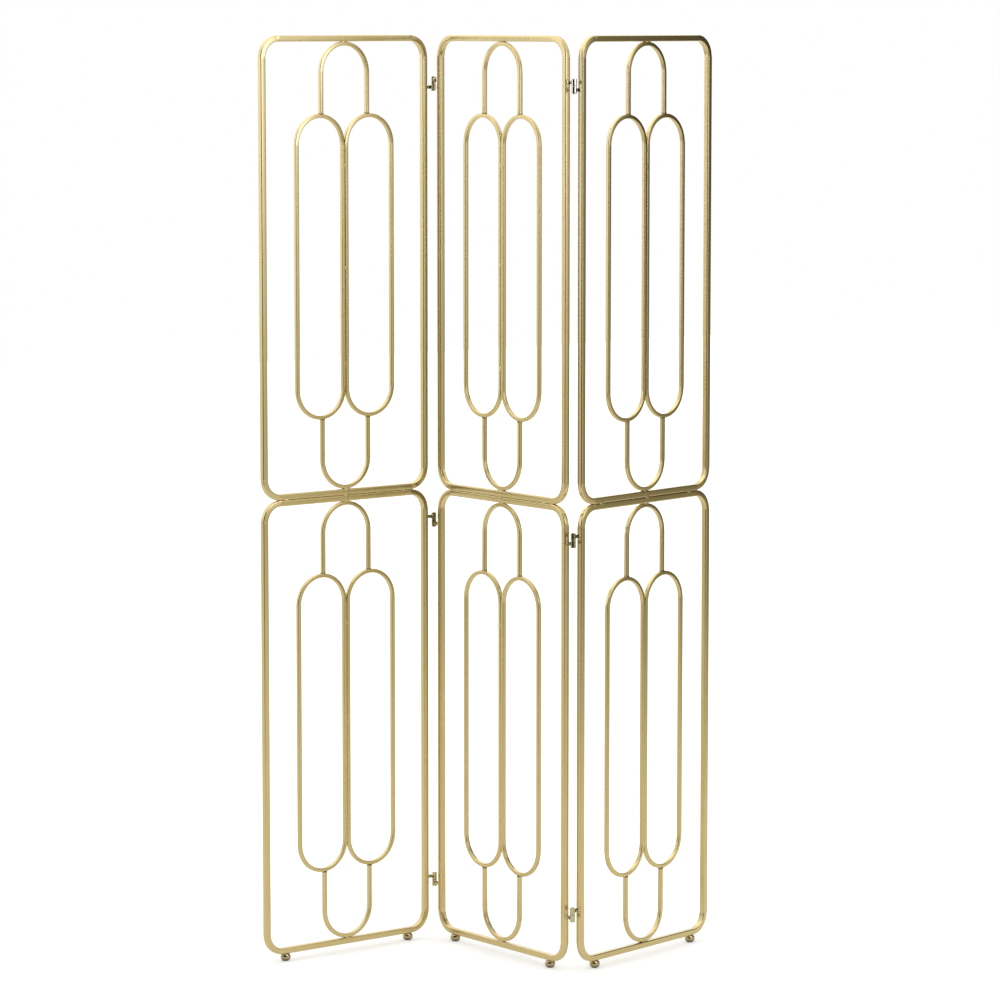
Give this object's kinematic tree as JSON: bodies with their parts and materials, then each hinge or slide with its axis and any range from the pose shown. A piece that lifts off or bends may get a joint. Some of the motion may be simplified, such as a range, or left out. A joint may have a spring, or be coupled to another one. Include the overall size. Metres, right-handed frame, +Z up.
{
  "type": "folding room divider",
  "caption": "Free-standing folding screen of hinged metal panels, each an open frame filled with bent-bar loops and arches, on small round feet.",
  "frame": {"origin": "Middle of the underside of the box round the divider as it stands folded out in the picture, on the floor.", "axes": "+Z up. The middle panel stands along X, with the left panel folded towards -Y and the right panel folded towards +Y."},
  "size_m": [0.451, 0.8292, 1.8],
  "materials": {
    "frame_tube": "satin brass plating, finely brushed along the tube",
    "square_bar": "satin brass plating, finely brushed along the bar",
    "polished_brass": "polished",
    "fastener_steel": "zinc plated",
    "foot_pad": "matte moulded"
  },
  "bodies": {
    "middle_panel": {"middle_panel_lower_frame": "frame_tube", "middle_panel_lower_left_loop": "square_bar", "middle_panel_lower_right_loop": "square_bar", "middle_panel_lower_crown_arch": "square_bar", "middle_panel_lower_base_arch": "square_bar", "middle_panel_upper_frame": "frame_tube", "middle_panel_upper_left_loop": "square_bar", "middle_panel_upper_right_loop": "square_bar", "middle_panel_upper_crown_arch": "square_bar", "middle_panel_upper_base_arch": "square_bar", "middle_panel_foot_pads": "foot_pad", "middle_panel_foot_caps": "polished_brass", "middle_panel_foot_studs": "fastener_steel", "middle_panel_foot_inserts": "fastener_steel", "middle_panel_left_top_knuckle": "polished_brass", "middle_panel_left_centre_knuckle": "polished_brass", "middle_panel_left_bottom_knuckle": "polished_brass", "left_hinge_pins": "polished_brass", "middle_panel_right_top_knuckle": "polished_brass", "middle_panel_right_centre_knuckle": "polished_brass", "middle_panel_right_bottom_knuckle": "polished_brass", "right_hinge_pins": "polished_brass"},
    "left_panel": {"left_panel_lower_frame": "frame_tube", "left_panel_lower_left_loop": "square_bar", "left_panel_lower_right_loop": "square_bar", "left_panel_lower_crown_arch": "square_bar", "left_panel_lower_base_arch": "square_bar", "left_panel_upper_frame": "frame_tube", "left_panel_upper_left_loop": "square_bar", "left_panel_upper_right_loop": "square_bar", "left_panel_upper_crown_arch": "square_bar", "left_panel_upper_base_arch": "square_bar", "left_panel_foot_pads": "foot_pad", "left_panel_foot_caps": "polished_brass", "left_panel_foot_studs": "fastener_steel", "left_panel_foot_inserts": "fastener_steel", "left_panel_top_knuckle": "polished_brass", "left_panel_centre_knuckle": "polished_brass", "left_panel_bottom_knuckle": "polished_brass"},
    "right_panel": {"right_panel_lower_frame": "frame_tube", "right_panel_lower_left_loop": "square_bar", "right_panel_lower_right_loop": "square_bar", "right_panel_lower_crown_arch": "square_bar", "right_panel_lower_base_arch": "square_bar", "right_panel_upper_frame": "frame_tube", "right_panel_upper_left_loop": "square_bar", "right_panel_upper_right_loop": "square_bar", "right_panel_upper_crown_arch": "square_bar", "right_panel_upper_base_arch": "square_bar", "right_panel_foot_pads": "foot_pad", "right_panel_foot_caps": "polished_brass", "right_panel_foot_studs": "fastener_steel", "right_panel_foot_inserts": "fastener_steel", "right_panel_top_knuckle": "polished_brass", "right_panel_centre_knuckle": "polished_brass", "right_panel_bottom_knuckle": "polished_brass"}
  },
  "joints": [
    {"name": "left_fold", "type": "hinge", "parent": "middle_panel", "child": "left_panel", "pos_m": [-0.21545, 0.0034, 0.9], "axis": [0, 0, 1], "range_deg": [-195, 50]},
    {"name": "right_fold", "type": "hinge", "parent": "middle_panel", "child": "right_panel", "pos_m": [0.22055, 0.0034, 0.9], "axis": [0, 0, 1], "range_deg": [-206, 39]}
  ]
}
